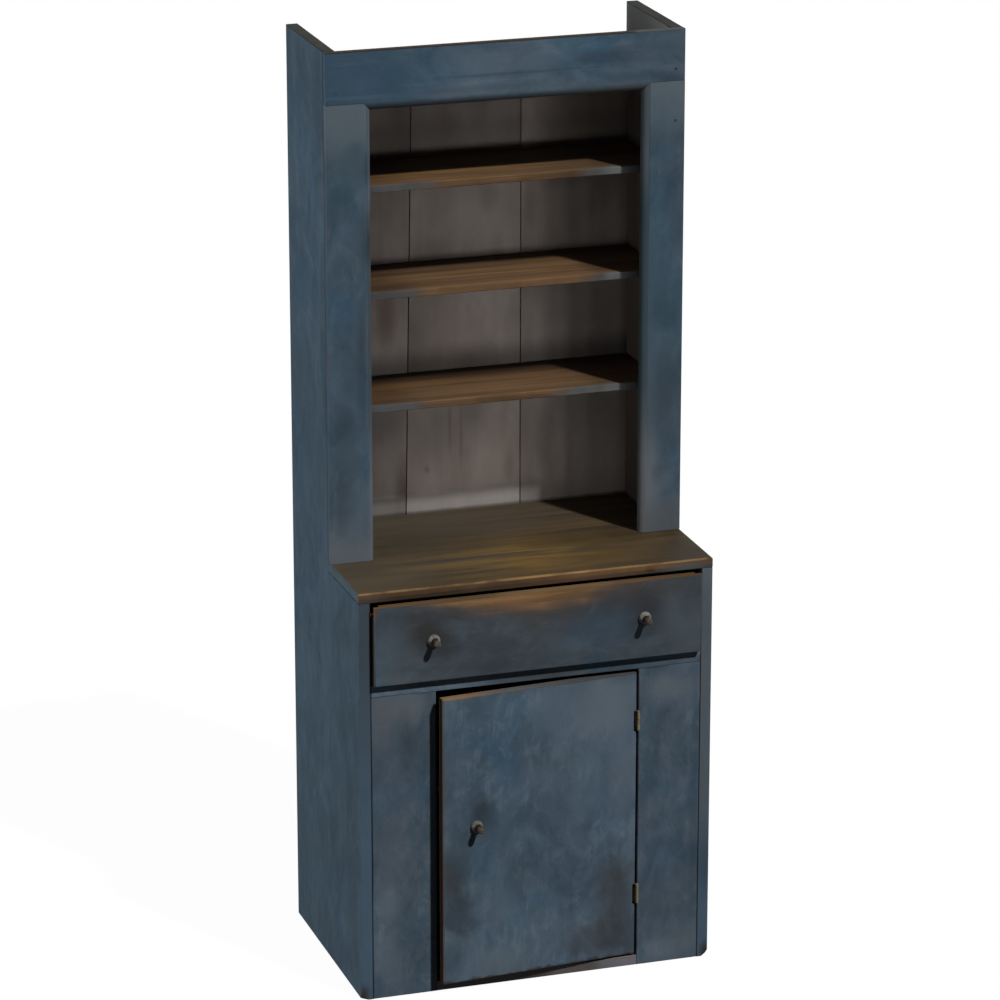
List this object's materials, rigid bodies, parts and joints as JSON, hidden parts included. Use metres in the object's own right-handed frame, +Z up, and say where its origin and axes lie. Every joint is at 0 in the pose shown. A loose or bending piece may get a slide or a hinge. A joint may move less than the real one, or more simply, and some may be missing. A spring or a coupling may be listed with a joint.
{
  "type": "step back cupboard",
  "caption": "Tall painted pine cupboard with open shelves in a framed upper case, a stepped counter, a wide drawer and a single hinged board door below.",
  "frame": {"origin": "On the floor, in the middle of the lower case's outer width and depth (the drawer's and door's overhang not counted).", "axes": "+Z is up, -Y is the front that the drawer and door open towards, +X is to the viewer's right when facing the front."},
  "size_m": [0.777, 0.5652, 2],
  "materials": {
    "blue_paint": "old blue milk paint on pine, dull and patchy",
    "grey_blue_paint": "greyer old blue paint on pine, rubbed thin",
    "drawer_paint": "dark blue-grey paint on pine, worn to wood along the top edge",
    "taupe_paint": "thin taupe paint on rough back boards",
    "worn_pine": "worn and oiled brown pine",
    "bare_pine": "bare aged pine",
    "iron": "aged brown iron"
  },
  "bodies": {
    "case": {"left_side_board": "blue_paint", "right_side_board": "blue_paint", "top_rail": "blue_paint", "upper_left_stile": "grey_blue_paint", "upper_right_stile": "grey_blue_paint", "drawer_divider": "grey_blue_paint", "lower_left_stile": "grey_blue_paint", "lower_right_stile": "grey_blue_paint", "back_board_left": "taupe_paint", "back_board_middle": "taupe_paint", "back_board_right": "taupe_paint", "upper_shelf": "worn_pine", "middle_shelf": "worn_pine", "lower_shelf": "worn_pine", "counter_board": "worn_pine", "bottom_board": "worn_pine", "top_board": "bare_pine", "cupboard_shelf": "bare_pine", "left_shelf_cleat": "bare_pine", "right_shelf_cleat": "bare_pine", "left_drawer_runner": "bare_pine", "right_drawer_runner": "bare_pine", "left_rail_nail": "iron", "left_stile_nail": "iron", "right_rail_nail": "iron", "right_stile_nail": "iron", "upper_hinge_stile_leaf": "iron", "upper_hinge_pin": "iron", "upper_hinge_stile_screw_1": "iron", "upper_hinge_stile_screw_2": "iron", "lower_hinge_stile_leaf": "iron", "lower_hinge_pin": "iron", "lower_hinge_stile_screw_1": "iron", "lower_hinge_stile_screw_2": "iron"},
    "drawer": {"drawer_front": "drawer_paint", "drawer_left_side": "bare_pine", "drawer_right_side": "bare_pine", "drawer_back": "bare_pine", "drawer_bottom": "bare_pine", "drawer_left_rosette": "iron", "drawer_left_knob": "iron", "drawer_left_knob_nut": "iron", "drawer_right_rosette": "iron", "drawer_right_knob": "iron", "drawer_right_knob_nut": "iron"},
    "door": {"door_board": "blue_paint", "door_upper_batten": "bare_pine", "door_lower_batten": "bare_pine", "door_rosette": "iron", "door_knob": "iron", "door_knob_nut": "iron", "upper_hinge_door_leaf": "iron", "upper_hinge_door_screw_1": "iron", "upper_hinge_door_screw_2": "iron", "lower_hinge_door_leaf": "iron", "lower_hinge_door_screw_1": "iron", "lower_hinge_door_screw_2": "iron"}
  },
  "joints": [
    {"name": "drawer_slide", "type": "slide", "parent": "case", "child": "drawer", "axis": [0, -1, 0], "range_m": [-0.015, 0.32]},
    {"name": "door_hinge", "type": "hinge", "parent": "case", "child": "door", "pos_m": [0.2245, -0.2539, 0], "axis": [0, 0, 1], "range_deg": [-4.5, 105]}
  ]
}
